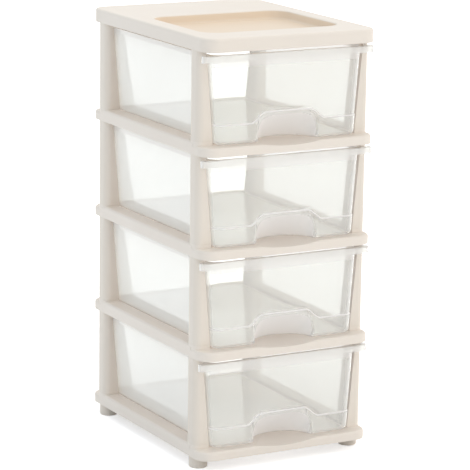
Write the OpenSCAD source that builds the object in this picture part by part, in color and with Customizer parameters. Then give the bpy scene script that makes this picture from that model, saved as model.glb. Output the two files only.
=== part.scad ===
// Plastic drawer tower: skirted shelves stacked on plug-in corner posts, with a
// transparent drawer sliding on each shelf. Millimetres, +Z up, front towards -Y,
// origin at the middle of the footprint on the floor.

/* [Tower] */
// Width over the shelves, left to right
tower_w = 302; // [270:1:340]
// Depth over the shelves, front to back
tower_d = 400; // [370:1:460]
// Height from one shelf to the next
tier_pitch = 159.5; // [140:0.5:190]

/* [Shelves] */
// Height of a shelf from the lower edge of its skirt to the surface that a drawer slides on
shelf_h = 14.5; // [13.5:0.5:20]
// Height of the ridges along a shelf's sides, above that surface
ridge_h = 5; // [3:0.5:8]
// Height of the top panel's skirt
top_h = 21.5; // [20:0.5:28]
// Wall thickness of shelves and top panel
shelf_wall = 2.5; // [2:0.1:3]
// Plan radius of the shelf corners
corner_r = 24; // [16:1:30]
// Radius along the upper edge of the skirt
edge_r = 4; // [2.5:0.5:5]
// Width of the rails on either side of the window in a shelf
side_rail = 71; // [60:1:90]
// Depth of the rail in front of the window, and in front of the tray
front_rail = 57; // [50:1:70]
// Depth of the closed area behind the window, and behind the tray
rear_rail = 145; // [110:1:160]
// Corner radius of the window and of the tray
window_r = 30; // [15:1:40]
// Height of the turned-down edge round the window
window_skirt_h = 9; // [6:0.5:11]
// Thickness of the stiffening ribs under a shelf
rib_t = 1.8; // [1.2:0.1:2.4]

/* [Top tray] */
// Distance from the top panel's side to the tray
tray_margin = 31; // [27:1:45]
// Depth of the tray in the top panel
tray_depth = 15; // [10:0.5:16]
// Slope of the tray's walls, in degrees
tray_draft = 6; // [2:1:12]
// Radius between the tray's walls and floor
tray_fillet = 5; // [3:0.5:8]
// Radius where the tray's walls meet the top surface
tray_lip_r = 3; // [1:0.5:4]

/* [Finger scoop] */
// Width of the scoop at the shelf's front edge
scoop_w = 110; // [80:2:140]
// Depth of the scoop at the shelf's front edge
scoop_depth = 4.5; // [3:0.5:6]
// Length of the scoop from front to back
scoop_len = 50; // [30:1:54]

/* [Posts] */
// Size of a post from front to back
post_d = 32; // [26:1:38]
// Radius of a post's outer corners
post_corner_r = 11; // [6:0.5:12]
// Thickness of a post at its base, across the tower
post_base_t = 25; // [22:0.5:28]
// Thickness of a post at its head, across the tower
post_head_t = 12.5; // [11:0.5:16]
// Distance from the shelf's side to the post's outer face
post_inset = 0.5; // [0:0.1:2]
// Distance from the shelf's front or back edge to the post's middle
post_setback = 41; // [34:1:50]
// Height of the collar that a post stands on, above the ridges
collar_h = 1; // [0.5:0.5:4]
// Wall thickness of a hollow post
post_wall = 2.2; // [1.8:0.1:3]
// Share of a post's length that is hollow
core_share = 0.7; // [0.5:0.05:0.8]
// Length of the plug at a post's base
plug_len = 10; // [8:0.5:11]
// Step in from a post's front and back to its plug
plug_step_d = 5; // [4:0.5:6]
// Step in from a post's outer and inner face to its plug
plug_step_t = 4; // [3:0.5:5]
// Radius of the plug's corners
plug_corner_r = 4; // [2:0.5:5]
// Length of the tongue at a post's head
tongue_len = 8; // [6:0.5:8.5]
// Thickness of the tongue at a post's head
tongue_t = 5; // [4:0.5:6]
// Step in from a post's front and back to its tongue
tongue_step = 7; // [5:0.5:8]
// Clearance all round a plug or a tongue in its socket
socket_gap = 0.2; // [0.1:0.05:0.4]

/* [Feet] */
// Height of a foot below the lowest skirt
foot_h = 18; // [12:0.5:30]
// Radius of a foot
foot_r = 14.8; // [12:0.2:15.6]
// Radius of a foot's plug
foot_plug_r = 9; // [6:0.5:11]
// Length of a foot's plug
foot_plug_len = 8; // [6:0.5:8.5]
// Radius round a foot's lower edge
foot_edge_r = 2; // [1:0.5:4]

/* [Drawers] */
// Wall thickness of a drawer
drawer_wall = 1.8; // [1.4:0.1:2.4]
// Gap between a drawer's rim and the shelf above
rim_gap = 3.5; // [2:0.5:8]
// Running gap between a drawer's rim and the posts
rim_side_gap = 1.3; // [0.8:0.1:2.5]
// Gap between a drawer's foot and the ridges beside it
base_side_gap = 3.5; // [2.5:0.5:9]
// Gap under a drawer, over the shelf that it slides on
slide_gap = 0.3; // [0.2:0.1:0.6]
// Distance from the shelf's front edge to the drawer's foot
front_setback = 14.5; // [13.5:0.5:20]
// Distance from the shelf's back edge to the drawer's foot
rear_setback = 25; // [18:1:40]
// How far the front and back walls lean out, foot to rim
wall_lean = 2.5; // [1:0.5:3.5]
// Plan radius of a drawer's corners at its foot
drawer_corner_r = 14; // [10:1:20]
// How much larger that radius is at the rim
corner_growth = 4; // [0:1:8]
// Radius between a drawer's walls and floor, outside
drawer_fillet = 6; // [4:0.5:9]
// Overhang of the rim beyond the side walls
rim_over = 2.6; // [2.2:0.1:4]
// Height of the rim's turned-down edge
rim_h = 7.5; // [5:0.5:10]
// Thickness of the rim
rim_t = 1.6; // [1.2:0.1:2]
// Height of the lip across the drawer's front
lip_h = 12; // [9:0.5:16]
// Depth of the lip, from its face back
lip_d = 13; // [10:0.5:14]
// Corner radius of the lip's ends
lip_r = 6; // [3:0.5:6]
// Distance that the lip's face stays behind the shelf's front edge
lip_setback = 9; // [7:0.5:9]
// Distance that the lip's ends stay inside the shelf's sides
lip_inset = 1; // [0.5:0.5:6]

/* [Drawer front] */
// Height of the stepped band along the foot of the front
band_h = 31; // [26:1:36]
// Height of the band where it arches over the finger pocket
arch_h = 47; // [40:1:52]
// How deep the band is stepped in
band_step = 1.2; // [0.8:0.1:1.6]
// Half width of the arch's level middle
arch_half_w = 38; // [30:1:44]
// Length of each curve from the band up to the arch
arch_blend = 28; // [16:1:34]
// Width of the finger pocket at its mouth
pocket_w = 106; // [80:2:120]
// Depth of the finger pocket at the drawer's foot
pocket_depth = 37; // [24:1:40]
// Height at which the pocket runs out in the front wall
pocket_h = 41; // [32:1:44]

/* [Hidden] */

cream = [0.93, 0.89, 0.84];
clear_plastic = [0.93, 0.95, 0.95, 0.35];

// Sides and quarters of the tower
left = -1;
right = 1;
front = -1;
rear = 1;

hull_fn = 20;    // facets of a circle inside a hull
pocket_fn = 32;  // facets of the finger pocket's ellipse
round_fn = 96;   // facets of a circle that stays round
sliver = 0.01;   // thickness of the flat outlines that a hull joins
over = 1;        // overrun of a cut beyond the face that it opens
far = 60;        // reach of a cut that only one of its faces shapes

// Window and tray
window_w = tower_w - 2*side_rail;
tray_w = tower_w - 2*tray_margin;
window_d = tower_d - front_rail - rear_rail;
window_y = (front_rail - rear_rail)/2;

// Centre of the arc between the tray's wall and floor, from a corner's axis
fillet_z = top_h - tray_depth + tray_fillet;
fillet_x = window_r - (top_h - fillet_z)*tan(tray_draft) - tray_fillet/cos(tray_draft);

// Posts: outer face, middle, height of the seat on the shelf, and the plug and tongue
post_out = tower_w/2 - post_inset;
post_y = tower_d/2 - post_setback;
seat_h = ridge_h + collar_h;
post_len = tier_pitch - shelf_h - seat_h;
post_slope = (post_base_t - post_head_t)/post_len;
plug_d = post_d - 2*plug_step_d;
plug_t = post_base_t - 2*plug_step_t;
tongue_d = post_d - 2*tongue_step;

// Inner plane of the posts, as half the width between them, z above the shelf's surface
function bay_half(z) = post_out - post_base_t + post_slope*(z - seat_h);

// Drawer, z above its own underside
drawer_h = tier_pitch - shelf_h - rim_gap - slide_gap;
drawer_half_0 = post_out - post_base_t - base_side_gap;
drawer_half_1 = bay_half(drawer_h - rim_h) - rim_side_gap - rim_over;
drawer_d_0 = tower_d - front_setback - rear_setback;
drawer_y = (front_setback - rear_setback)/2;
front_lean = atan(wall_lean/drawer_h);
front_y = drawer_y - drawer_d_0/2;
lip_face_y = -tower_d/2 + lip_setback;
pocket_tilt = atan(pocket_depth/pocket_h);
scoop_r = (pow(scoop_w/2, 2) + pow(scoop_depth, 2))/(2*scoop_depth);
scoop_tilt = atan(scoop_depth/scoop_len);

function drawer_half(z) = drawer_half_0 + (drawer_half_1 - drawer_half_0)*z/drawer_h;
function drawer_depth(z) = drawer_d_0 + 2*wall_lean*z/drawer_h;
function drawer_corner(z) = drawer_corner_r + corner_growth*z/drawer_h;

// Underside of a level's skirt: level 0 is the base shelf, level 4 the top panel
function level_z(level) = foot_h + tier_pitch*level;
// Surface that the drawer of a tier slides on: tier 1 is the lowest
function deck_z(tier) = level_z(tier - 1) + shelf_h;

// ---------- outlines ----------

module rounded_rect(w, d, r) {
    square([w - 2*r, d], center = true);
    square([w, d - 2*r], center = true);
    for (sx = [left, right], sy = [front, rear])
        translate([sx*(w/2 - r), sy*(d/2 - r)])
            circle(r = r, $fn = round_fn);
}

// Block on a rounded rectangle, with the same edge all the way round. The children
// draw its section from a corner's axis (x = 0) outwards; the middle is a plain cuboid
// from z up, h tall.
module round_block(w, d, r, z, h) {
    for (sx = [left, right], sy = [front, rear])
        translate([sx*(w/2 - r), sy*(d/2 - r), 0])
            rotate_extrude($fn = round_fn)
                children();
    for (side = [left, right]) {
        translate([side*(w/2 - r), 0, 0])
            rotate([90, 0, 0])
                linear_extrude(height = d - 2*r, center = true)
                    mirror([side == left ? 1 : 0, 0])
                        children();
        translate([0, side*(d/2 - r), 0])
            rotate([90, 0, 90])
                linear_extrude(height = w - 2*r, center = true)
                    mirror([side == left ? 1 : 0, 0])
                        children();
    }
    translate([r - w/2, r - d/2, z])
        cube([w - 2*r, d - 2*r, h]);
}

// Corner discs of a rounded rectangle, to be joined by a hull
module hull_outline(w, d, r, z) {
    for (sx = [left, right], sy = [front, rear])
        translate([sx*(w/2 - r), sy*(d/2 - r), z])
            cylinder(r = r, h = sliver, $fn = hull_fn);
}

// Everything on the inner side of a plane that leans from in_0 to in_1 over h
module inner_side(in_0, in_1, h, w) {
    rotate([90, 0, 0])
        linear_extrude(height = w, center = true)
            polygon([
                [-far, -over],
                [in_0 - (in_1 - in_0)/h*over, -over],
                [in_1 + (in_1 - in_0)/h*over, h + over],
                [-far, h + over]
            ]);
}

// ---------- shelves ----------

// Skirted plate with a rounded upper edge, its underside at z = 0
module level_plate(h) {
    round_block(tower_w, tower_d, corner_r, 0, h) {
        square([corner_r, h - edge_r]);
        square([corner_r - edge_r, h]);
        translate([corner_r - edge_r, h - edge_r])
            circle(r = edge_r, $fn = round_fn);
    }
}

module level_hollow(h) {
    translate([0, 0, -over])
        linear_extrude(height = h - shelf_wall + over)
            rounded_rect(tower_w - 2*shelf_wall, tower_d - 2*shelf_wall,
                         corner_r - shelf_wall);
}

// Ridges along both sides that guide the drawer, flush with the skirt outside and with
// the posts' seats inside; moved in by shrink, they are the hollow under the ridges
module side_ridges(shrink, bottom) {
    inner = post_out - post_base_t + shrink;
    outer = tower_w/2 - shrink;
    top = shelf_h + ridge_h - shrink;
    r = edge_r - shrink;
    for (side = [left, right])
        mirror([side == left ? 1 : 0, 0, 0])
            rotate([90, 0, 0])
                linear_extrude(height = 2*post_y, center = true) {
                    translate([inner, bottom])
                        square([outer - inner - r, top - bottom]);
                    translate([inner, bottom])
                        square([outer - inner, top - r - bottom]);
                    translate([outer - r, top - r])
                        circle(r = r, $fn = round_fn);
                }
}

// Ribs under a level whose opening is w wide. They pass over the opening as well,
// where the cut that makes it takes them away again.
module level_ribs(h, w) {
    rib_h = window_skirt_h - shelf_wall/2;
    rear_mid = tower_d/2 - rear_rail/2;
    translate([0, 0, h - window_skirt_h]) {
        for (x = [-w/3, 0, w/3])
            translate([x - rib_t/2, window_y, 0])
                cube([rib_t, tower_d/2 - window_y - shelf_wall/2, rib_h]);
        for (x = [-scoop_w/2, scoop_w/2])
            translate([x - rib_t/2, shelf_wall/2 - tower_d/2, 0])
                cube([rib_t, front_rail, rib_h]);
        for (y = [window_y - window_d/4, window_y + window_d/4, rear_mid])
            translate([shelf_wall/2 - tower_w/2, y - rib_t/2, 0])
                cube([tower_w - shelf_wall, rib_t, rib_h]);
    }
}

// Ribs along the middle of the side rails
module side_ribs(h) {
    for (side = [left, right])
        translate([side*(tower_w - side_rail)/2 - rib_t/2, shelf_wall/2 - tower_d/2,
                   h - window_skirt_h])
            cube([rib_t, tower_d - shelf_wall, window_skirt_h - shelf_wall/2]);
}

// Section of a post at its base, its outer face towards +X of the tower's middle
module post_outline(t) {
    intersection() {
        translate([post_out - post_d, 0])
            rounded_rect(2*post_d, post_d, post_corner_r);
        translate([post_out - t, -post_d/2])
            square([t, post_d]);
    }
}

module at_posts() {
    for (side = [left, right], end = [front, rear])
        translate([0, end*post_y, 0])
            mirror([side == left ? 1 : 0, 0, 0])
                children();
}

// Boss through a level under each post, with the collar that the post stands on
module bosses(h, raise) {
    at_posts()
        linear_extrude(height = h + raise)
            post_outline(post_base_t);
}

module plug_outline(gap) {
    translate([post_out - post_base_t/2, 0])
        rounded_rect(plug_t + 2*gap, plug_d + 2*gap, plug_corner_r);
}

module tongue_outline(gap) {
    translate([post_out - post_head_t/2, 0])
        square([tongue_t + 2*gap, tongue_d + 2*gap], center = true);
}

// Sockets that take the plugs of the posts above
module plug_sockets(h) {
    at_posts()
        translate([0, 0, h + seat_h - plug_len - socket_gap])
            linear_extrude(height = plug_len + socket_gap + over)
                plug_outline(socket_gap);
}

// Sockets that take the tongues of the posts below
module tongue_sockets() {
    at_posts()
        translate([0, 0, -over])
            linear_extrude(height = tongue_len + socket_gap + over)
                tongue_outline(socket_gap);
}

// Round bosses in the base shelf that give the feet's sockets a wall all round
module foot_bosses(h) {
    at_posts()
        translate([post_out - foot_r, 0, 0])
            cylinder(r = foot_plug_r + socket_gap + shelf_wall, h = h - shelf_wall/2,
                     $fn = round_fn);
}

module foot_sockets() {
    at_posts()
        translate([post_out - foot_r, 0, -over])
            cylinder(r = foot_plug_r + socket_gap, h = foot_plug_len + socket_gap + over,
                     $fn = round_fn);
}

// Shallow trough in the front edge, so that fingers reach under the drawer's foot
module finger_scoop(h, grow) {
    translate([0, -tower_d/2 + scoop_len, h])
        rotate([90 + scoop_tilt, 0, 0])
            translate([0, scoop_r, -far])
                cylinder(r = scoop_r + grow, h = scoop_len + 2*far, $fn = 2*round_fn);
}

module window_cut(h) {
    translate([0, window_y, -over])
        linear_extrude(height = h + 2*over)
            rounded_rect(window_w, window_d, window_r);
}

module window_skirt(h) {
    translate([0, window_y, h - window_skirt_h])
        linear_extrude(height = window_skirt_h - shelf_wall/2)
            rounded_rect(window_w + 2*shelf_wall, window_d + 2*shelf_wall,
                         window_r + shelf_wall);
}

// Shelf at level 0 (the base) to 3, with the seats that the posts above stand on
module open_level(level) {
    color(cream)
        translate([0, 0, level_z(level)])
            difference() {
                union() {
                    difference() {
                        union() {
                            level_plate(shelf_h);
                            side_ridges(0, 0);
                        }
                        difference() {
                            level_hollow(shelf_h);
                            finger_scoop(shelf_h, shelf_wall);
                        }
                        side_ridges(shelf_wall, -over);
                    }
                    window_skirt(shelf_h);
                    level_ribs(shelf_h, window_w);
                    side_ribs(shelf_h);
                    bosses(shelf_h, seat_h);
                    if (level == 0) foot_bosses(shelf_h);
                }
                window_cut(shelf_h);
                finger_scoop(shelf_h, 0);
                plug_sockets(shelf_h);
                if (level == 0) foot_sockets();
                if (level > 0) tongue_sockets();
            }
}

// ---------- top panel ----------

// Section of the tray from a corner's axis outwards, its wall and floor moved out by
// grow: the wall leans, and an arc joins it to the floor
module tray_section(grow) {
    arc = tray_fillet + grow;
    polygon([
        [0, fillet_z - arc],
        [fillet_x, fillet_z - arc],
        [fillet_x + arc*cos(tray_draft), fillet_z - arc*sin(tray_draft)],
        [window_r + grow/cos(tray_draft), top_h],
        [0, top_h]
    ]);
    translate([fillet_x, fillet_z])
        circle(r = arc, $fn = round_fn);
}

// What the rounded edge round the tray's mouth takes away from the top surface
module tray_lip_section() {
    lip_x = window_r - tray_lip_r*tan(tray_draft) + tray_lip_r/cos(tray_draft);
    lip_z = top_h - tray_lip_r;
    wall_z = lip_z + tray_lip_r*sin(tray_draft);
    difference() {
        polygon([
            [0, wall_z],
            [lip_x - tray_lip_r*cos(tray_draft), wall_z],
            [lip_x, top_h],
            [lip_x, top_h + over],
            [0, top_h + over]
        ]);
        translate([lip_x, lip_z])
            circle(r = tray_lip_r, $fn = round_fn);
    }
}

module tray_shell() {
    translate([0, window_y, 0])
        round_block(tray_w, window_d, window_r, top_h - tray_depth - shelf_wall,
                    tray_depth + shelf_wall)
            tray_section(shelf_wall);
}

module tray_space() {
    translate([0, window_y, 0])
        round_block(tray_w, window_d, window_r, top_h - tray_depth, tray_depth + over) {
            tray_section(0);
            tray_lip_section();
        }
}

module top_panel() {
    color(cream)
        translate([0, 0, level_z(4)])
            difference() {
                union() {
                    difference() {
                        level_plate(top_h);
                        level_hollow(top_h);
                    }
                    intersection() {
                        level_plate(top_h);
                        union() {
                            tray_shell();
                            level_ribs(top_h, tray_w);
                            bosses(top_h, 0);
                        }
                    }
                }
                tray_space();
                tongue_sockets();
            }
}

// ---------- posts and feet ----------

// A post stands on its collar at z = 0, its outer face towards +X
module post_solid() {
    in_0 = post_out - post_base_t;
    in_1 = post_out - post_head_t;
    difference() {
        linear_extrude(height = post_len)
            post_outline(post_base_t);
        inner_side(in_0, in_1, post_len, post_d + 2*over);
    }
    translate([0, 0, -plug_len])
        linear_extrude(height = plug_len + over)
            plug_outline(0);
    translate([0, 0, post_len - over])
        linear_extrude(height = tongue_len + over)
            tongue_outline(0);
}

// Hollow that opens at the plug and follows the slanting inner plane
module post_core() {
    in_0 = post_out - post_base_t + post_wall;
    in_1 = post_out - post_head_t + post_wall;
    core_h = post_len*core_share;
    core_in = in_0 + (in_1 - in_0)*core_h/post_len;
    translate([0, 0, -plug_len - over])
        linear_extrude(height = plug_len + 2*over)
            translate([post_out - post_base_t/2, 0])
                square([plug_t - 2*post_wall, plug_d - 2*post_wall], center = true);
    difference() {
        translate([post_out - post_base_t/2 - plug_t/2 + post_wall, -plug_d/2 + post_wall, 0])
            cube([plug_t - 2*post_wall, plug_d - 2*post_wall, core_h]);
        inner_side(in_0, core_in, core_h, plug_d + 2*over);
    }
}

module post(tier, side, end) {
    color(cream)
        translate([0, end*post_y, deck_z(tier) + seat_h])
            mirror([side == left ? 1 : 0, 0, 0])
                difference() {
                    post_solid();
                    post_core();
                }
}

module foot(side, end) {
    color(cream)
        translate([side*(post_out - foot_r), end*post_y, 0])
            rotate_extrude($fn = round_fn)
                difference() {
                    union() {
                        square([foot_r, foot_h]);
                        square([foot_plug_r, foot_h + foot_plug_len]);
                    }
                    difference() {
                        translate([foot_r - foot_edge_r, 0])
                            square([foot_edge_r, foot_edge_r]);
                        translate([foot_r - foot_edge_r, foot_edge_r])
                            circle(r = foot_edge_r, $fn = round_fn);
                    }
                }
}

// ---------- drawers ----------

// Tapered tub with rounded corners and a rounded foot
module tub(shrink, top_z) {
    fillet = drawer_fillet - shrink;
    hull() {
        for (a = [0 : 30 : 90]) {
            z = shrink + fillet*(1 - cos(a));
            inset = shrink + fillet*(1 - sin(a));
            hull_outline(2*(drawer_half(z) - inset), drawer_depth(z) - 2*inset,
                         drawer_corner(z) - inset, z);
        }
        hull_outline(2*(drawer_half(top_z) - shrink), drawer_depth(top_z) - 2*shrink,
                     drawer_corner(top_z) - shrink, top_z - sliver);
    }
}

// Height of the stepped band at a distance x from the middle
function band_edge(x) =
    let (t = (abs(x) - arch_half_w)/arch_blend)
    t <= 0 ? arch_h :
    t >= 1 ? band_h :
    band_h + (arch_h - band_h)*(1 + cos(180*t))/2;

// Everything in front of the stepped band's face, set in by depth
module band_front(depth) {
    reach = tower_w/2;
    blend_end = arch_half_w + arch_blend;
    steps = 8;
    curve = [for (i = [0 : steps]) arch_half_w + arch_blend*i/steps];
    translate([0, front_y, 0])
        rotate([front_lean, 0, 0])
            translate([0, depth, 0])
                rotate([90, 0, 0])
                    linear_extrude(height = depth + far)
                        polygon(concat(
                            [[-reach, -far], [reach, -far], [reach, band_edge(reach)]],
                            [for (i = [steps : -1 : 0]) [curve[i], band_edge(curve[i])]],
                            [for (i = [0 : steps]) [-curve[i], band_edge(curve[i])]],
                            [[-reach, band_edge(reach)]]
                        ));
}

// Finger pocket: an elliptic prism that leans out and runs out in the front wall
module pocket_space(grow) {
    translate([0, front_y, 0])
        rotate([pocket_tilt, 0, 0])
            translate([0, 0, -far])
                linear_extrude(height = 3*far)
                    scale([pocket_w/2 + grow, pocket_depth*cos(pocket_tilt) + grow])
                        circle(r = 1, $fn = pocket_fn);
}

// Rim along the sides and back, and the wide lip across the front
module rim_blank(shrink, top_z) {
    translate([0, drawer_y, top_z - rim_h])
        linear_extrude(height = rim_h)
            rounded_rect(2*(drawer_half_1 + rim_over - shrink),
                         drawer_depth(drawer_h) + 2*(rim_over - shrink),
                         drawer_corner(drawer_h) + rim_over - shrink);
    translate([0, lip_face_y + lip_d/2, top_z - lip_h])
        linear_extrude(height = lip_h)
            rounded_rect(tower_w - 2*lip_inset - 2*shrink, lip_d - 2*shrink,
                         lip_r - shrink);
}

module drawer(tier) {
    color(clear_plastic)
        translate([0, 0, deck_z(tier) + slide_gap])
            difference() {
                union() {
                    difference() {
                        translate([0, drawer_y, 0])
                            tub(0, drawer_h);
                        band_front(band_step);
                        pocket_space(0);
                    }
                    difference() {
                        rim_blank(0, drawer_h);
                        rim_blank(rim_t, drawer_h - rim_t);
                    }
                }
                difference() {
                    translate([0, drawer_y, 0])
                        tub(drawer_wall, drawer_h + over);
                    band_front(band_step + drawer_wall);
                    pocket_space(drawer_wall);
                }
            }
}

// ---------- assembly ----------

open_level(0);  // base_shelf
open_level(1);  // shelf_1
open_level(2);  // shelf_2
open_level(3);  // shelf_3
top_panel();

post(1, left, front);  // post_1_front_left
post(1, right, front);  // post_1_front_right
post(1, left, rear);  // post_1_rear_left
post(1, right, rear);  // post_1_rear_right
post(2, left, front);  // post_2_front_left
post(2, right, front);  // post_2_front_right
post(2, left, rear);  // post_2_rear_left
post(2, right, rear);  // post_2_rear_right
post(3, left, front);  // post_3_front_left
post(3, right, front);  // post_3_front_right
post(3, left, rear);  // post_3_rear_left
post(3, right, rear);  // post_3_rear_right
post(4, left, front);  // post_4_front_left
post(4, right, front);  // post_4_front_right
post(4, left, rear);  // post_4_rear_left
post(4, right, rear);  // post_4_rear_right

foot(left, front);  // foot_front_left
foot(right, front);  // foot_front_right
foot(left, rear);  // foot_rear_left
foot(right, rear);  // foot_rear_right

drawer(1);  // drawer_1
drawer(2);  // drawer_2
drawer(3);  // drawer_3
drawer(4);  // drawer_4
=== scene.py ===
# %% [markdown]
# # A plastic drawer tower, dressed in Blender
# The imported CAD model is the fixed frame: five skirted levels, sixteen posts, four feet and
# four drawers, in metres, +Z up and the front towards -Y. This lesson gives the frame its
# moulded plastic and replaces the faceted drawers by smooth, clear ones.

# %% Load the frame and keep its box
import math

import bmesh
import bpy
from mathutils import Matrix, Vector


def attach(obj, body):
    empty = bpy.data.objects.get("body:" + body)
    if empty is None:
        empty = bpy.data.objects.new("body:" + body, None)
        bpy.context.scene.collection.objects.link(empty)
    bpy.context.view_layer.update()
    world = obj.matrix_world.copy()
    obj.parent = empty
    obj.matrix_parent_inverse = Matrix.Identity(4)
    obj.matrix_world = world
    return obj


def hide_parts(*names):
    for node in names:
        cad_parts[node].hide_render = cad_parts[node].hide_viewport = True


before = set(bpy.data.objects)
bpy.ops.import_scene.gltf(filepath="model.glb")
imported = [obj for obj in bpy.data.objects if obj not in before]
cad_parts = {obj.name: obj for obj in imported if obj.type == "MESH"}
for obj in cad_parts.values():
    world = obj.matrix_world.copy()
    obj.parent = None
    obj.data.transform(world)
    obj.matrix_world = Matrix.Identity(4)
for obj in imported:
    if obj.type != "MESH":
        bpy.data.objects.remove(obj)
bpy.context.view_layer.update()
MM = 0.001

# %% [markdown]
# Colours are written as the sRGB hex values that a paint program shows. Blender's sockets
# take linear light, so one function turns them over. A second small function adds a node
# with its settings and links, and is all that the materials below need.

# %% Colour and node helpers
def linear(hex_colour):
    channels = [int(hex_colour[i:i + 2], 16)/255 for i in (1, 3, 5)]
    lit = [c/12.92 if c <= 0.04045 else ((c + 0.055)/1.055)**2.4 for c in channels]
    return (*lit, 1.0)


def add(tree, kind, inputs=None, **settings):
    """Adds a node. An input is a value, or an output socket of another node to link."""
    node = tree.nodes.new(kind)
    for name, value in settings.items():
        setattr(node, name, value)
    for name, value in (inputs or {}).items():
        if isinstance(value, bpy.types.NodeSocket):
            tree.links.new(value, node.inputs[name])
        else:
            node.inputs[name].default_value = value
    return node


def new_material(name):
    material = bpy.data.materials.new(name)
    material.use_nodes = True
    material.node_tree.nodes.clear()
    return material, material.node_tree


print("pure white is", linear("#FFFFFF")[:3])

# %% [markdown]
# The camera comes first, because every look is judged through it. The photograph was taken
# from far away with a long lens: 4.2 m off, 29 degrees round to the left of the front and
# 13 degrees above the level, with a small tilt of the horizon.

# %% Camera at the photograph's viewpoint
azimuth = math.radians(28.838)
elevation = math.radians(12.632)
roll = math.radians(0.827)
camera_place = Vector((-1.9442, -3.5527, 1.2323))
focal_pixels = 2574.3
image_pixels = 470
sensor_mm = 36

forward = Vector((math.sin(azimuth)*math.cos(elevation),
                  math.cos(azimuth)*math.cos(elevation), -math.sin(elevation)))
level_right = Vector((math.cos(azimuth), -math.sin(azimuth), 0))
level_up = level_right.cross(forward)
right = level_right*math.cos(roll) + level_up*math.sin(roll)
up = level_up*math.cos(roll) - level_right*math.sin(roll)

camera_data = bpy.data.cameras.new("photo_camera")
camera_data.sensor_fit = "HORIZONTAL"
camera_data.sensor_width = sensor_mm
camera_data.lens = focal_pixels*sensor_mm/image_pixels
camera_data.clip_end = 100
camera = bpy.data.objects.new("photo_camera", camera_data)
camera.matrix_world = Matrix((
    (right.x, up.x, -forward.x, camera_place.x),
    (right.y, up.y, -forward.y, camera_place.y),
    (right.z, up.z, -forward.z, camera_place.z),
    (0, 0, 0, 1)))
bpy.context.scene.collection.objects.link(camera)
bpy.context.scene.camera = camera
print("lens, mm:", round(camera_data.lens, 1))

# %% [markdown]
# The studio is all white, but white that is looked at must not light the tower more than a
# studio would. So some rays are told apart: those that look at a thing, directly, in a
# reflection or through clear plastic, and not those that gather light.

# %% Rays that look
def looking_rays(tree):
    """1 for rays that look at a thing: directly, in a reflection or through clear plastic."""
    rays = add(tree, "ShaderNodeLightPath")
    direct = add(tree, "ShaderNodeMath", {0: rays.outputs["Is Camera Ray"],
                                          1: rays.outputs["Is Glossy Ray"]}, operation="MAXIMUM")
    return add(tree, "ShaderNodeMath", {0: direct.outputs[0],
                                        1: rays.outputs["Is Transmission Ray"]},
               operation="MAXIMUM").outputs[0]


print("helper for looking rays ready")

# %% [markdown]
# The floor is a pale diffuse plane, which takes the tower's soft shadow. For the rays that
# look at it, light is added to bring it up to white: less round the feet, where the shadow
# stays, and more further out.

# %% Floor
FLOOR_HALF = 15.0                # metres; it reaches far past the picture's edge
GLOW_NEAR, GLOW_FAR = 0.22, 0.75    # metres from the tower's middle
GLOW_AT_FEET, GLOW_OUTSIDE = 0.55, 0.8    # the light that is added at these two places


def make_floor_material():
    material, tree = new_material("white_studio_floor")
    place = add(tree, "ShaderNodeTexCoord").outputs["Object"]
    away = add(tree, "ShaderNodeVectorMath", {0: place}, operation="LENGTH").outputs["Value"]
    glow_here = add(tree, "ShaderNodeMapRange", {0: away, 1: GLOW_NEAR, 2: GLOW_FAR,
                                                 3: GLOW_AT_FEET, 4: GLOW_OUTSIDE})
    lift = add(tree, "ShaderNodeMath", {0: looking_rays(tree), 1: glow_here.outputs[0]},
               operation="MULTIPLY")
    paper = add(tree, "ShaderNodeBsdfDiffuse", {"Color": linear("#F4F4F4")})
    glow = add(tree, "ShaderNodeEmission", {"Strength": lift.outputs[0]})
    both = add(tree, "ShaderNodeAddShader", {0: paper.outputs[0], 1: glow.outputs[0]})
    add(tree, "ShaderNodeOutputMaterial", {"Surface": both.outputs[0]})
    return material


floor_mesh = bpy.data.meshes.new("studio_floor")
bm = bmesh.new()
bmesh.ops.create_grid(bm, x_segments=1, y_segments=1, size=FLOOR_HALF)
bm.to_mesh(floor_mesh)
bm.free()
studio_floor = bpy.data.objects.new("studio_floor", floor_mesh)
bpy.context.scene.collection.objects.link(studio_floor)
floor_mesh.materials.append(make_floor_material())
print("floor is", 2*FLOOR_HALF, "m wide")

# %% [markdown]
# The world lights the tower from all sides, as white walls do: bright and slightly warm
# from the right, weaker and cooler from the left, and a little stronger from above. A ray
# that looks at it sees plain white.

# %% World
RIGHT_LIGHT, LEFT_LIGHT = "#FFFCF8", "#D2DCE6"    # colour of the light from either side
RIGHT_X, LEFT_X = 0.5, -0.9      # a direction's x where these colours are reached
HORIZON_LIGHT, ZENITH_LIGHT = 0.97, 1.06

world = bpy.data.worlds.new("studio")
world.use_nodes = True
bpy.context.scene.world = world
world_tree = world.node_tree
world_tree.nodes.clear()
aim = add(world_tree, "ShaderNodeSeparateXYZ",
          {0: add(world_tree, "ShaderNodeTexCoord").outputs["Generated"]})
from_left = add(world_tree, "ShaderNodeMapRange", {0: aim.outputs["X"], 1: RIGHT_X, 2: LEFT_X})
side_light = add(world_tree, "ShaderNodeMix",
                 {0: from_left.outputs[0], 6: linear(RIGHT_LIGHT), 7: linear(LEFT_LIGHT)},
                 data_type="RGBA")
height = add(world_tree, "ShaderNodeMapRange",
             {0: aim.outputs["Z"], 3: HORIZON_LIGHT, 4: ZENITH_LIGHT})
lamp_light = add(world_tree, "ShaderNodeBackground",
                 {"Color": side_light.outputs[2], "Strength": height.outputs[0]})
white_wall = add(world_tree, "ShaderNodeBackground",
                 {"Color": linear("#FFFFFF"), "Strength": 1.0})
mixed = add(world_tree, "ShaderNodeMixShader",
            {0: looking_rays(world_tree), 1: lamp_light.outputs[0], 2: white_wall.outputs[0]})
add(world_tree, "ShaderNodeOutputWorld", {"Surface": mixed.outputs[0]})
print("world:", bpy.context.scene.world.name)

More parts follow.
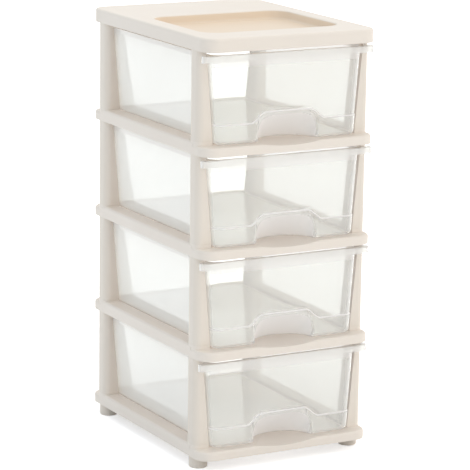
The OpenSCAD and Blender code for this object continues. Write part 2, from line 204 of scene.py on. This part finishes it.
# %% [markdown]
# Two large soft boxes add shape to that even light: one high in front, which makes the
# front skirts warmer and brighter than the sides, and a wide weak one overhead for the top.

# %% Soft boxes
def soft_box(name, place, target, size, power, colour):
    data = bpy.data.lights.new(name, "AREA")
    data.shape = "SQUARE"
    data.size = size
    data.energy = power
    data.color = linear(colour)[:3]
    lamp = bpy.data.objects.new(name, data)
    lamp.location = place
    lamp.rotation_euler = (Vector(target) - Vector(place)).to_track_quat("-Z", "Y").to_euler()
    bpy.context.scene.collection.objects.link(lamp)


soft_box("front_box", place=(0.9, -3.0, 2.2), target=(0, 0, 0.35), size=1.8, power=12,
         colour="#FFF3E6")
soft_box("top_box", place=(-0.2, 0.3, 3.0), target=(0, 0, 0.5), size=2.2, power=9,
         colour="#FFFDF8")
bpy.context.scene.view_settings.view_transform = "Standard"

# %% [markdown]
# ## The frame's plastic
# The frame is injection-moulded polypropylene in a warm cream. In the tray of the top panel
# light goes from wall to wall and comes out warmer, and that bounced light is painted into
# the tray's colour as a deeper shade. One material does both: three masks, one for each
# axis, keep the painted shade in the tray.

# %% The tray's painted bounce light
TRAY_HALF_X, TRAY_HALF_Y, TRAY_MIDDLE_Y = 121.0, 100.0, -44.0    # mm, 1 past its mouth
TRAY_MOUTH_Z = 676.5             # 1 mm below the top surface
TRAY_FADE = 1.0                  # width over which the painted shade sets in


def paint_tray_bounce_light(tree, place, tone, tray_bounce_hex):
    """Paints bounce light: mixes tray_bounce_hex into the tone between the tray's walls, below
    the top surface.
    """
    at = add(tree, "ShaderNodeSeparateXYZ", {0: place})
    across = add(tree, "ShaderNodeMath", {0: at.outputs["X"]}, operation="ABSOLUTE")
    along = add(tree, "ShaderNodeMath", {0: at.outputs["Y"], 1: -TRAY_MIDDLE_Y*MM},
                operation="ADD")
    along = add(tree, "ShaderNodeMath", {0: along.outputs[0]}, operation="ABSOLUTE")
    share = 1.0
    for value, limit in ((across.outputs[0], TRAY_HALF_X), (along.outputs[0], TRAY_HALF_Y),
                         (at.outputs["Z"], TRAY_MOUTH_Z)):
        within = add(tree, "ShaderNodeMapRange",
                     {0: value, 1: limit*MM, 2: (limit - TRAY_FADE)*MM})
        share = add(tree, "ShaderNodeMath", {0: share, 1: within.outputs[0]},
                    operation="MULTIPLY").outputs[0]
    return add(tree, "ShaderNodeMix", {0: share, 6: tone.outputs[2], 7: linear(tray_bounce_hex)},
               data_type="RGBA")


print("tray's shade ends at, mm:", 2*TRAY_HALF_X, "x", 2*TRAY_HALF_Y)

# %% [markdown]
# The cream is opaque and satin: a soft, broad shine with the faintest grain from the tool's
# spark-eroded surface, and slow changes of shade where the melt flowed. The edges of a
# moulding are never sharp, so the shader rounds them by a little over half a millimetre,
# which also shows the joint between a post and the collar that it stands on.

# %% Cream polypropylene
GRAIN_MM = 0.9                   # the real grain is about 0.1 mm; coarser so that it shows
GRAIN_STRENGTH, GRAIN_DEPTH = 0.06, 0.1    # share of the bump, and its height in mm
FLOW_MM = 90                     # length of the slow changes of shade along a wall
EDGE_MM = 0.6                    # radius of a moulded edge
SATIN = (0.38, 0.5)              # roughness, from the smoothest to the dullest place
SOLID_IOR = 1.49                 # polypropylene's own


def make_frame_plastic(name, light_hex, deep_hex, tray_bounce_hex=None):
    material, tree = new_material(name)
    place = add(tree, "ShaderNodeTexCoord").outputs["Object"]
    flow = add(tree, "ShaderNodeTexNoise", {"Vector": place, "Scale": 1000/FLOW_MM,
                                            "Detail": 3, "Roughness": 0.5})
    tone = add(tree, "ShaderNodeMix", {0: flow.outputs["Fac"], 6: linear(light_hex),
                                       7: linear(deep_hex)}, data_type="RGBA")
    if tray_bounce_hex:
        tone = paint_tray_bounce_light(tree, place, tone, tray_bounce_hex)
    grain = add(tree, "ShaderNodeTexNoise", {"Vector": place, "Scale": 1000/GRAIN_MM,
                                             "Detail": 2, "Roughness": 0.6})
    rough = add(tree, "ShaderNodeMapRange", {0: flow.outputs["Fac"], 3: SATIN[0], 4: SATIN[1]})
    edge = add(tree, "ShaderNodeBevel", {"Radius": EDGE_MM*MM}, samples=4)
    bump = add(tree, "ShaderNodeBump", {"Strength": GRAIN_STRENGTH,
                                        "Distance": GRAIN_DEPTH*MM,
                                        "Height": grain.outputs["Fac"],
                                        "Normal": edge.outputs[0]})
    plastic = add(tree, "ShaderNodeBsdfPrincipled",
                  {"Base Color": tone.outputs[2], "Roughness": rough.outputs[0],
                   "IOR": SOLID_IOR, "Normal": bump.outputs[0]})
    add(tree, "ShaderNodeOutputMaterial", {"Surface": plastic.outputs[0]})
    return material


print("grain is", GRAIN_MM, "mm")

# %% [markdown]
# Each kind of moulding gets its own cream, lightest in the levels. The posts are a shade
# deeper as painted shade: they stand back under the skirts and the lip ears, where less of
# the light from above reaches them. The feet are a shade deeper too. Each CAD node keeps its
# mesh and takes the new material in its own slot.

# %% Cream on the frame
LEVEL_CREAM = ("#EDE5DB", "#EAE1D6")     # lightest and deepest shade of the flow
# painted shade: deeper than the levels because the posts stand back in the skirts' shade
POST_CREAM_PAINTED_SHADE = ("#E9E1D6", "#E6DDD1")
FOOT_CREAM = ("#E7DED3", "#E1D7CA")
# painted light: the warm light bounced inside the tray, painted as a deeper cream
TRAY_PAINTED_BOUNCE_LIGHT = "#E8D7C2"

frame_plastic = make_frame_plastic("moulded_cream_polypropylene", *LEVEL_CREAM)
painted_tray_top_plastic = make_frame_plastic("moulded_cream_top_plastic_painted_tray_light", *LEVEL_CREAM, TRAY_PAINTED_BOUNCE_LIGHT)
painted_shade_post_plastic = make_frame_plastic("moulded_cream_post_plastic_painted_shade", *POST_CREAM_PAINTED_SHADE)
foot_plastic = make_frame_plastic("moulded_cream_foot_plastic", *FOOT_CREAM)

plastic_of = {"base": frame_plastic, "shelf": frame_plastic, "top": painted_tray_top_plastic,
              "post": painted_shade_post_plastic, "foot": foot_plastic}
for name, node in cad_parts.items():
    if not name.startswith("drawer"):
        node.material_slots[0].material = plastic_of[name.split("_")[0]]
print("frame nodes in cream:", sum(not n.startswith("drawer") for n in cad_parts))

# %% [markdown]
# ## The clear drawers
# A drawer is one thin shell of milky clear polypropylene: a tub that leans out to the rim,
# with a rounded foot, a stepped band along the front that arches over a finger pocket, a
# rim turned down round the sides and back, and a wide hollow lip across the front whose
# ears reach in front of the posts. It is built as a solid: a smooth outer tub and a smooth
# inner one, each lofted ring by ring from a rounded rectangle, and joined by Boolean
# operations with the rim and the lip. All sizes are in millimetres, with heights from the
# drawer's underside.

# %% Sizes of a drawer
TIERS = 4
FOOT_Z = 32.8                    # underside of the lowest drawer, on its running gap
TIER_PITCH = 159.5
DRAWER_H = 138.9                 # 2.3 less than the CAD's: daylight shows over the lip
HALF_FOOT, HALF_RIM = 122.0, 133.08
DEPTH_FOOT, DEPTH_RIM = 360.5, 365.5
MIDDLE_Y = -5.25
CORNER_FOOT, CORNER_RIM = 14.0, 18.0
FOOT_FILLET = 6.0
WALL = 1.8
RIM_OVER, RIM_H, RIM_T = 2.6, 7.5, 1.6
LIP_HALF, LIP_FACE_Y, LIP_D, LIP_H, LIP_R = 150.0, -191.0, 13.0, 11.0, 6.0
RIM_ROUND, LIP_ROUND = 0.7, 0.9  # bevels of their upper edges
FRONT_Y = MIDDLE_Y - DEPTH_FOOT/2
LEAN = (DEPTH_RIM - DEPTH_FOOT)/2/DRAWER_H    # how far the front leans out on 1 mm of height
print("front foot line at y =", FRONT_Y)

# %% [markdown]
# The front has two forms. The band stands proud of the plain leaning wall by 1.2 mm up to
# its arched edge, wraps the front corners and dies out along the sides. The finger pocket is
# pushed far back from it at the foot, and its back comes forward up to the arch. Both are
# functions of a point's place, so the outer and the inner wall follow them alike. A smooth
# maximum joins the pocket to the front, as a moulding tool's radius does.

# %% Surface of the drawer's front
BAND_H, ARCH_H, BAND_STEP = 31.0, 47.0, 1.2
ARCH_HALF, ARCH_BLEND = 38.0, 28.0
STEP_H = 2.0                     # height over which the band steps back
BAND_END_Y, BAND_FADE = -130.0, 35.0    # where it has died out, and over what length
POCKET_HALF, POCKET_DEPTH = 53.0, 37.0
POCKET_SLOPE = 0.8               # how fast the pocket's back comes forward
POCKET_BLEND = 4.0               # radius between the pocket and the front


def smooth_max(a, b, radius):
    gap = max(radius - abs(a - b), 0)/radius
    return max(a, b) + gap*gap*radius/4


def between(value, low, high):
    return min(max(value, low), high)


def band_edge(x):
    t = between((abs(x) - ARCH_HALF)/ARCH_BLEND, 0, 1)
    return BAND_H + (ARCH_H - BAND_H)*(1 + math.cos(math.pi*t))/2


def eased(value):
    t = between(value, 0, 1)
    return t*t*(3 - 2*t)


def pushed_back(x, y, z, inward):
    """The y of a point of the front wall at (x, y, z) after the pocket is pressed in."""
    across = min(abs(x)/(POCKET_HALF + inward), 1)
    even_wall = inward*(math.hypot(1, POCKET_SLOPE) - 1)    # a slope takes more y for a wall
    depth = POCKET_DEPTH + BAND_STEP - z*POCKET_SLOPE + even_wall
    pressed = (max(depth, 0) + POCKET_BLEND)*math.sqrt(1 - across**2)
    return smooth_max(y, y + min(pressed, depth + POCKET_BLEND) - POCKET_BLEND, POCKET_BLEND)


print("pocket's back at the foot, y =", round(pushed_back(0, FRONT_Y - BAND_STEP, 0, 0), 1))

# %% [markdown]
# A tub is a stack of level rings, close together round the foot's fillet and along the band,
# and wide apart above. At the front they are bent afterwards, so that one strip of faces
# follows the band's step along its arch and the line stays crisp.

# %% Heights and sizes of a tub's rings
FREE_Z = 60.0                    # from here up the rings are level again
FILLET_STEPS = 8                 # steps round the foot's fillet
BAND_RINGS, STEP_RINGS, ABOVE_RINGS, UPPER_RINGS = 24, 2, 12, 4
SAME_MM = 0.001                  # sizes that differ by less are the same size


def tub_rings(inward, top):
    """The height and the inset of every ring, from the foot's fillet to the top."""
    fillet = FOOT_FILLET - inward
    rings = []
    for i in range(FILLET_STEPS + 1):
        a = math.radians(i*90/FILLET_STEPS)
        rings.append((inward + fillet*(1 - math.cos(a)), inward + fillet*(1 - math.sin(a))))
    step_foot, step_head = BAND_H - STEP_H/2, BAND_H + STEP_H/2
    spans = ((FOOT_FILLET, step_foot, BAND_RINGS), (step_foot, step_head, STEP_RINGS),
             (step_head, FREE_Z, ABOVE_RINGS), (FREE_Z, top, UPPER_RINGS))
    for low, high, count in spans:
        rings += [(low + (high - low)*(i + 1)/count, inward) for i in range(count)]
    return rings


def stretched(value, low, high, new_low, new_high):
    return new_low + (value - low)*(new_high - new_low)/(high - low)


def bent(x, z):
    """The height of a level ring's point at x after the bending."""
    half_step, edge = STEP_H/2, band_edge(x)
    if abs(z - BAND_H) <= half_step + SAME_MM:
        return edge + z - BAND_H
    if FOOT_FILLET < z < BAND_H:
        return stretched(z, FOOT_FILLET, BAND_H - half_step, FOOT_FILLET, edge - half_step)
    if BAND_H < z < FREE_Z:
        return stretched(z, BAND_H + half_step, FREE_Z, edge + half_step, FREE_Z)
    return z


def size_at(z, inset):
    """Half width, half depth and corner radius of the leaning tub at height z."""
    t = z/DRAWER_H
    return (HALF_FOOT + (HALF_RIM - HALF_FOOT)*t - inset,
            (DEPTH_FOOT + (DEPTH_RIM - DEPTH_FOOT)*t)/2 - inset,
            max(CORNER_FOOT + (CORNER_RIM - CORNER_FOOT)*t - inset, 1.0))


print("rings of the outer tub:", len(tub_rings(0, DRAWER_H)))

# %% [markdown]
# A tub starts as one square face. Its corners are bevelled into arcs, its edges subdivided,
# and its outline is extruded upwards ring by ring. Each vertex remembers which corner
# centre and which direction it belongs to, so that every ring is a true rounded rectangle.

# %% A tub, ring by ring
FRONT_CUTS, SIDE_CUTS, CORNER_CUTS = 132, 10, 10


def rounded_outline(bm, half_x, half_y, radius, front_cuts, side_cuts, corner_cuts):
    """One flat face with rounded corners; returns it."""
    bmesh.ops.create_grid(bm, x_segments=1, y_segments=1, size=1)
    bmesh.ops.scale(bm, vec=(half_x, half_y, 1), verts=bm.verts)
    bmesh.ops.bevel(bm, geom=bm.verts[:], affect="VERTICES", offset=radius,
                    offset_type="OFFSET", segments=corner_cuts, profile=0.5, material=-1)
    straight = [e for e in bm.edges if e.calc_length() > radius]
    for edge in straight:
        across = abs(edge.verts[0].co.y - edge.verts[1].co.y) < SAME_MM
        front = across and edge.verts[0].co.y < 0
        bmesh.ops.subdivide_edges(bm, edges=[edge], cuts=front_cuts if front else side_cuts)
    return bm.faces[:][0]


def make_tub(name, inward, top):
    bm = bmesh.new()
    base_x, base_y, base_r = size_at(0, 0)
    rounded_outline(bm, base_x, base_y, base_r, FRONT_CUTS, SIDE_CUTS, CORNER_CUTS)
    stations = {}                # of each vertex: its corner centre and its direction
    number = bm.verts.layers.int.new("station")
    for i, v in enumerate(bm.verts):
        v[number] = i
        cx = between(v.co.x/(base_x - base_r), -1, 1)
        cy = between(v.co.y/(base_y - base_r), -1, 1)
        stations[i] = (cx, cy, (v.co.x - cx*(base_x - base_r))/base_r,
                       (v.co.y - cy*(base_y - base_r))/base_r)

    def put(v, z, inset):
        """Moves a vertex to its own place on the ring at height z."""
        half_x, half_y, radius = size_at(z, inset)
        cx, cy, dx, dy = stations[v[number]]
        x = cx*(half_x - radius) + dx*radius
        y = cy*(half_y - radius) + dy*radius + MIDDLE_Y
        proud = BAND_STEP*eased((BAND_H - z)/STEP_H + 0.5)*eased((BAND_END_Y - y)/BAND_FADE)
        v.co = (x + dx*proud, y + dy*proud, z)

    rings = tub_rings(inward, top)
    for v in bm.verts:
        put(v, *rings[0])
    outline = bm.edges[:]
    for ring in rings[1:]:
        grown = bmesh.ops.extrude_edge_only(bm, edges=outline)["geom"]
        outline = [g for g in grown if isinstance(g, bmesh.types.BMEdge)]
        for v in grown:
            if isinstance(v, bmesh.types.BMVert):
                put(v, *ring)
    bmesh.ops.contextual_create(bm, geom=outline)
    for v in bm.verts:
        if v.co.y < BAND_END_Y:
            level_z, v.co.z = v.co.z, bent(v.co.x, v.co.z)
            v.co.y = pushed_back(v.co.x, v.co.y - (v.co.z - level_z)*LEAN, v.co.z, inward)
    bmesh.ops.recalc_face_normals(bm, faces=bm.faces)
    return finish_mesh(bm, name)


def finish_mesh(bm, name):
    """Millimetres to metres, and a new object at the origin."""
    bmesh.ops.scale(bm, vec=(MM, MM, MM), verts=bm.verts)
    mesh = bpy.data.meshes.new(name)
    bm.to_mesh(mesh)
    bm.free()
    made = bpy.data.objects.new(name, mesh)
    bpy.context.scene.collection.objects.link(made)
    return made


outer_tub = make_tub("outer_tub", 0, DRAWER_H)
inner_tub = make_tub("inner_tub", WALL, DRAWER_H + 1)
print("outer tub:", len(outer_tub.data.polygons), "faces")

# %% [markdown]
# The rim and the lip are plates on a rounded outline, pulled up to the drawer's top. Their
# upper edges are bevelled, because this is where clear plastic catches its bright line.

# %% Rim and lip blocks
def make_block(name, half_x, half_y, radius, middle_y, low, high, rounding):
    bm = bmesh.new()
    face = rounded_outline(bm, half_x, half_y, radius, 0, 0, CORNER_CUTS)
    grown = bmesh.ops.extrude_face_region(bm, geom=[face])["geom"]
    raised = [g for g in grown if isinstance(g, bmesh.types.BMVert)]
    bmesh.ops.translate(bm, vec=(0, 0, high - low), verts=raised)
    bmesh.ops.translate(bm, vec=(0, middle_y, low), verts=bm.verts)
    if rounding:
        upper_edges = [e for e in bm.edges if all(v.co.z > high - SAME_MM for v in e.verts)]
        bmesh.ops.bevel(bm, geom=upper_edges, affect="EDGES", offset=rounding, segments=3,
                        profile=0.5, material=-1)
    bmesh.ops.recalc_face_normals(bm, faces=bm.faces)
    return finish_mesh(bm, name)


rim_x = HALF_RIM + RIM_OVER
rim_y = DEPTH_RIM/2 + RIM_OVER
rim_r = CORNER_RIM + RIM_OVER
lip_y = LIP_FACE_Y + LIP_D/2
rim_block = make_block("rim_block", rim_x, rim_y, rim_r, MIDDLE_Y,
                       DRAWER_H - RIM_H, DRAWER_H, RIM_ROUND)
lip_block = make_block("lip_block", LIP_HALF, LIP_D/2, LIP_R, lip_y,
                       DRAWER_H - LIP_H, DRAWER_H, LIP_ROUND)
rim_hollow = make_block("rim_hollow", rim_x - RIM_T, rim_y - RIM_T, rim_r - RIM_T, MIDDLE_Y,
                        DRAWER_H - RIM_H - 1, DRAWER_H - RIM_T, 0)
lip_hollow = make_block("lip_hollow", LIP_HALF - RIM_T, LIP_D/2 - RIM_T, LIP_R - RIM_T, lip_y,
                        DRAWER_H - LIP_H - 1, DRAWER_H - RIM_T, 0)
print("rim is", round(2*rim_x, 1), "mm wide")

# %% [markdown]
# Exact Booleans join the blocks as a moulding tool's cavity would: rim and lip are hollow
# from below, and the inner tub is taken out of everything at the end.

# %% Join them to one clear shell
WELD_MM = 0.02                   # points closer than this become one


def combine(base, other, operation):
    """Joins other to base, or cuts it out, and removes it."""
    step = base.modifiers.new(operation.lower(), "BOOLEAN")
    step.operation = operation
    step.solver = "EXACT"
    step.object = other
    bpy.context.view_layer.update()
    graph = bpy.context.evaluated_depsgraph_get()
    mesh = bpy.data.meshes.new_from_object(base.evaluated_get(graph))
    base.modifiers.clear()
    base.data = mesh
    bpy.data.objects.remove(other)
    return base


edge_blocks = combine(rim_block, lip_block, "UNION")
edge_hollow = combine(rim_hollow, lip_hollow, "UNION")
edging = combine(edge_blocks, edge_hollow, "DIFFERENCE")
shell = combine(outer_tub, edging, "UNION")
shell = combine(shell, inner_tub, "DIFFERENCE")

bm = bmesh.new()
bm.from_mesh(shell.data)
bmesh.ops.remove_doubles(bm, verts=bm.verts, dist=WELD_MM*MM)
open_edges = sum(len(e.link_faces) != 2 for e in bm.edges)
bm.to_mesh(shell.data)
bm.free()
print("shell:", len(shell.data.polygons), "faces, open edges:", open_edges)

# %% [markdown]
# ## Milky clear polypropylene
# The drawers are clarified polypropylene: clear enough to see through, polished on both
# sides, and slightly milky, because the plastic scatters part of the light. Each surface
# therefore mixes a clear glass-like part with a white veil, and the veil grows where the
# wall is seen at a slant and the way through it is longer. At a still flatter view the
# polished surface shows the white studio, so a shine takes over. Four kinds of face differ
# in how strong the veil and the shine are: the plain walls, the thicker edging and floor,
# the band's step that catches the light, and the pocket, where the walls crowd.
#
# Light passes through the thin walls, so rays that ask for light go straight on. After a
# few walls a ray goes straight on as well, where Cycles would otherwise end it in black.

# %% Milky clear plastic material
CLEAR_TINT, THROUGH_TINT = "#FCFDFA", "#FEFDFD"    # of light that passes through one surface
WALL_MILK, THICK_MILK = "#FAFBF9", "#FEFDFC"
WALL_VEIL = (0.15, 0.62)         # white share of one surface, seen straight and at a slant
EDGE_VEIL = (0.3, 0.62)
STEP_VEIL = (0.8, 0.9)
POCKET_VEIL = (0.6, 0.75)
VEIL_FROM, VEIL_TO = 0.12, 0.55  # slants between which the veil grows
MILK_BACK = 0.25                 # share of the milk's light that comes from behind
SHINE_FROM = 0.5                 # slant from which the shine grows
WALL_SHINE, EDGE_SHINE, DULL_SHINE = 0.75, 1.0, 0.1    # its share at the flattest view
SHINE_ROUGH = 0.1
POLISH = (0.02, 0.06)            # roughness of the clear part, from place to place
WAVE_MM = 60                     # length of the slight waves of a thin moulded wall
WAVE_STRENGTH, WAVE_DEPTH = 0.2, 0.4    # share of the bump, and its height in mm
CLEAR_IOR = 1.4                  # a little lower than the real 1.49: calmer edges
LAST_DEPTH = 6                   # surfaces before a ray goes straight on


def make_clear_plastic(name, milk_hex, veil_shares, full_shine):
    material, tree = new_material(name)
    place = add(tree, "ShaderNodeTexCoord").outputs["Object"]
    waves = add(tree, "ShaderNodeTexNoise", {"Vector": place, "Scale": 1000/WAVE_MM,
                                             "Detail": 2, "Roughness": 0.4})
    bump = add(tree, "ShaderNodeBump", {"Strength": WAVE_STRENGTH, "Distance": WAVE_DEPTH*MM,
                                        "Height": waves.outputs["Fac"]})
    rough = add(tree, "ShaderNodeMapRange",
                {0: waves.outputs["Fac"], 3: POLISH[0], 4: POLISH[1]})
    glass = add(tree, "ShaderNodeBsdfPrincipled",
                {"Base Color": linear(CLEAR_TINT), "Transmission Weight": 1.0, "IOR": CLEAR_IOR,
                 "Roughness": rough.outputs[0], "Normal": bump.outputs[0]})
    lit_front = add(tree, "ShaderNodeBsdfDiffuse", {"Color": linear(milk_hex)})
    lit_back = add(tree, "ShaderNodeBsdfTranslucent", {"Color": linear(milk_hex)})
    milk = add(tree, "ShaderNodeMixShader", {0: MILK_BACK, 1: lit_front.outputs[0],
                                             2: lit_back.outputs[0]})
    slant = add(tree, "ShaderNodeLayerWeight", {"Blend": 0.5}).outputs["Facing"]
    veil = add(tree, "ShaderNodeMapRange", {0: slant, 1: VEIL_FROM, 2: VEIL_TO,
                                            3: veil_shares[0], 4: veil_shares[1]})
    milky = add(tree, "ShaderNodeMixShader", {0: veil.outputs[0], 1: glass.outputs[0],
                                              2: milk.outputs[0]})
    shine = add(tree, "ShaderNodeBsdfAnisotropic", {"Color": linear("#F6F7F3"),
                                                    "Roughness": SHINE_ROUGH})
    shine_share = add(tree, "ShaderNodeMapRange", {0: slant, 1: SHINE_FROM, 4: full_shine})
    polished = add(tree, "ShaderNodeMixShader", {0: shine_share.outputs[0], 1: milky.outputs[0],
                                                 2: shine.outputs[0]})
    through = add(tree, "ShaderNodeBsdfTransparent", {"Color": linear(THROUGH_TINT)})
    rays = add(tree, "ShaderNodeLightPath")
    asks = add(tree, "ShaderNodeMath", {0: rays.outputs["Is Shadow Ray"],
                                        1: rays.outputs["Is Diffuse Ray"]}, operation="MAXIMUM")
    deep = add(tree, "ShaderNodeMath", {0: rays.outputs["Transmission Depth"],
                                        1: LAST_DEPTH - 0.5}, operation="GREATER_THAN")
    straight = add(tree, "ShaderNodeMath", {0: asks.outputs[0], 1: deep.outputs[0]},
                   operation="MAXIMUM")
    both = add(tree, "ShaderNodeMixShader",
               {0: straight.outputs[0], 1: polished.outputs[0], 2: through.outputs[0]})
    add(tree, "ShaderNodeOutputMaterial", {"Surface": both.outputs[0]})
    return material


print("a wall seen straight is", round(100*(1 - (1 - WALL_VEIL[0])**2)), "% white")

# %% [markdown]
# A function tells from a face's place on the drawer which of the four kinds it is, and the
# shell carries the four materials in the same order. It is then shaded smooth, with only the
# real creases left sharp.

# %% Four kinds of face
WALL_FACE, EDGE_FACE, STEP_FACE, POCKET_FACE = range(4)
REACH = 0.1                      # how far past a part's size its faces are still counted in
CREASE_DEG = 35                  # angle from which an edge stays sharp

clear_kinds = (("wall", WALL_MILK, WALL_VEIL, WALL_SHINE),
               ("edging", THICK_MILK, EDGE_VEIL, EDGE_SHINE),
               ("step", THICK_MILK, STEP_VEIL, DULL_SHINE),
               ("pocket", THICK_MILK, POCKET_VEIL, DULL_SHINE))
shell.data.materials.clear()
for kind, milk_hex, veil_shares, full_shine in clear_kinds:
    shell.data.materials.append(make_clear_plastic(
        "milky_clear_polypropylene_" + kind, milk_hex, veil_shares, full_shine))


def clear_kind(face):
    """Which of the four kinds a face of the shell is, from its place."""
    x, y, z = face.center/MM
    in_lip = z > DRAWER_H - LIP_H - REACH and y < LIP_FACE_Y + LIP_D + REACH
    if in_lip or z > DRAWER_H - RIM_H - REACH or z < WALL + REACH:
        return EDGE_FACE
    if abs(z - band_edge(x)) < STEP_H/2 and y < BAND_END_Y - BAND_FADE:
        return STEP_FACE
    in_pocket = (abs(x) < POCKET_HALF + WALL and z < band_edge(x)
                 and FRONT_Y + WALL + 1 < y < FRONT_Y + POCKET_DEPTH + WALL + 1)
    return POCKET_FACE if in_pocket else WALL_FACE


for face in shell.data.polygons:
    face.material_index = clear_kind(face)
shell.data.shade_smooth()
shell.data.set_sharp_from_angle(angle=math.radians(CREASE_DEG))
print("materials of the shell:", [m.name for m in shell.data.materials])

# %% [markdown]
# The same shell serves all four drawers, each a copy with its place in its mesh. A copy
# rides on its drawer's body, takes the place of the faceted CAD drawer, which is hidden,
# and carries the shell's four clear materials.

# %% A shell for each drawer
for tier in range(1, TIERS + 1):
    mesh = shell.data.copy()
    mesh.transform(Matrix.Translation((0, 0, (FOOT_Z + TIER_PITCH*(tier - 1))*MM)))
    clear = bpy.data.objects.new(f"drawer_{tier}_shell", mesh)
    bpy.context.scene.collection.objects.link(clear)
    flat = clear.modifiers.new("flat faces", "WEIGHTED_NORMAL")
    flat.keep_sharp = True
    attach(clear, f"drawer_{tier}")
    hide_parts(f"drawer_{tier}")
bpy.data.objects.remove(shell)
print("four clear drawers")
